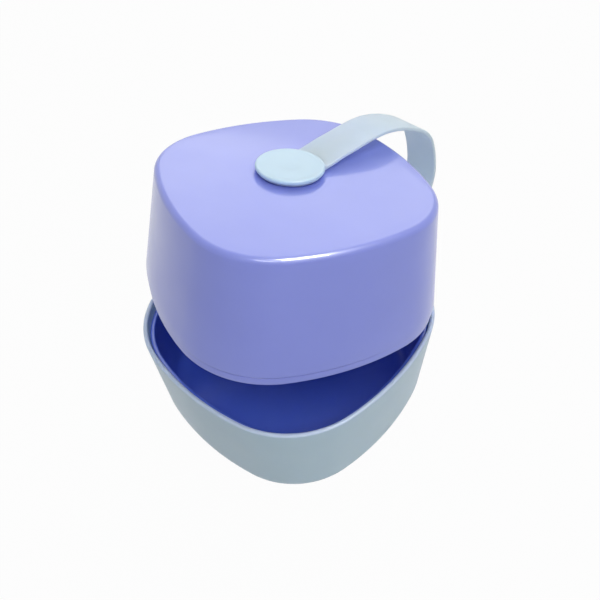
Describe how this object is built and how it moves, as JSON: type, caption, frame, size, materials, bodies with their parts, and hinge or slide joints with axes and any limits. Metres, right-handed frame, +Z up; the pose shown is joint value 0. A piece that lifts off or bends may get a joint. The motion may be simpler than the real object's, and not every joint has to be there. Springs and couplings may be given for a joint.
{
  "type": "pacifier case",
  "caption": "Rounded-square two-part travel pot with a deep lid, tethered at the back by a soft strap that snaps onto the lid's top.",
  "frame": {"origin": "centre of the pot's flat underside, which stands on the table", "axes": "+Z up; +Y towards the strap at the back; -Y is the front, where the lid opens"},
  "size_m": [0.0716, 0.0889, 0.0674],
  "materials": {
    "shell_pale": "satin pale grey-blue moulded plastic",
    "liner_deep": "glossy deep blue moulded plastic",
    "lid_lavender": "glossy lavender-blue moulded plastic",
    "strap_soft": "soft pale blue silicone, satin",
    "cap_pale": "satin very pale blue plastic",
    "fastener_clear": "satin pale plastic",
    "yoke_pale": "satin pale grey-blue plastic",
    "steel": "bright spring steel"
  },
  "bodies": {
    "pot": {"base_shell": "shell_pale", "base_liner": "liner_deep"},
    "yoke": {"strap_yoke": "yoke_pale", "yoke_ring": "steel", "strap_pin": "steel"},
    "strap": {"strap": "strap_soft", "snap_cap": "cap_pale", "snap_socket": "fastener_clear"},
    "lid": {"lid_shell": "lid_lavender", "snap_stud": "fastener_clear", "stud_washer": "fastener_clear"}
  },
  "joints": [
    {"name": "strap_sway", "type": "hinge", "parent": "pot", "child": "yoke", "pos_m": [0, 0.043, 0.0165], "axis": [0, 0, 1], "range_deg": [-12.77, 27.23]},
    {"name": "lid_lift", "type": "hinge", "parent": "yoke", "child": "strap", "pos_m": [0, 0.043, 0.0165], "axis": [-0.992, 0.1259, 0], "range_deg": [-7.96, 92]},
    {"name": "lid_turn", "type": "hinge", "parent": "strap", "child": "lid", "pos_m": [-0.0044, 0.00834, 0.06339], "axis": [0.0174, 0.1374, 0.9904], "continuous": true}
  ]
}
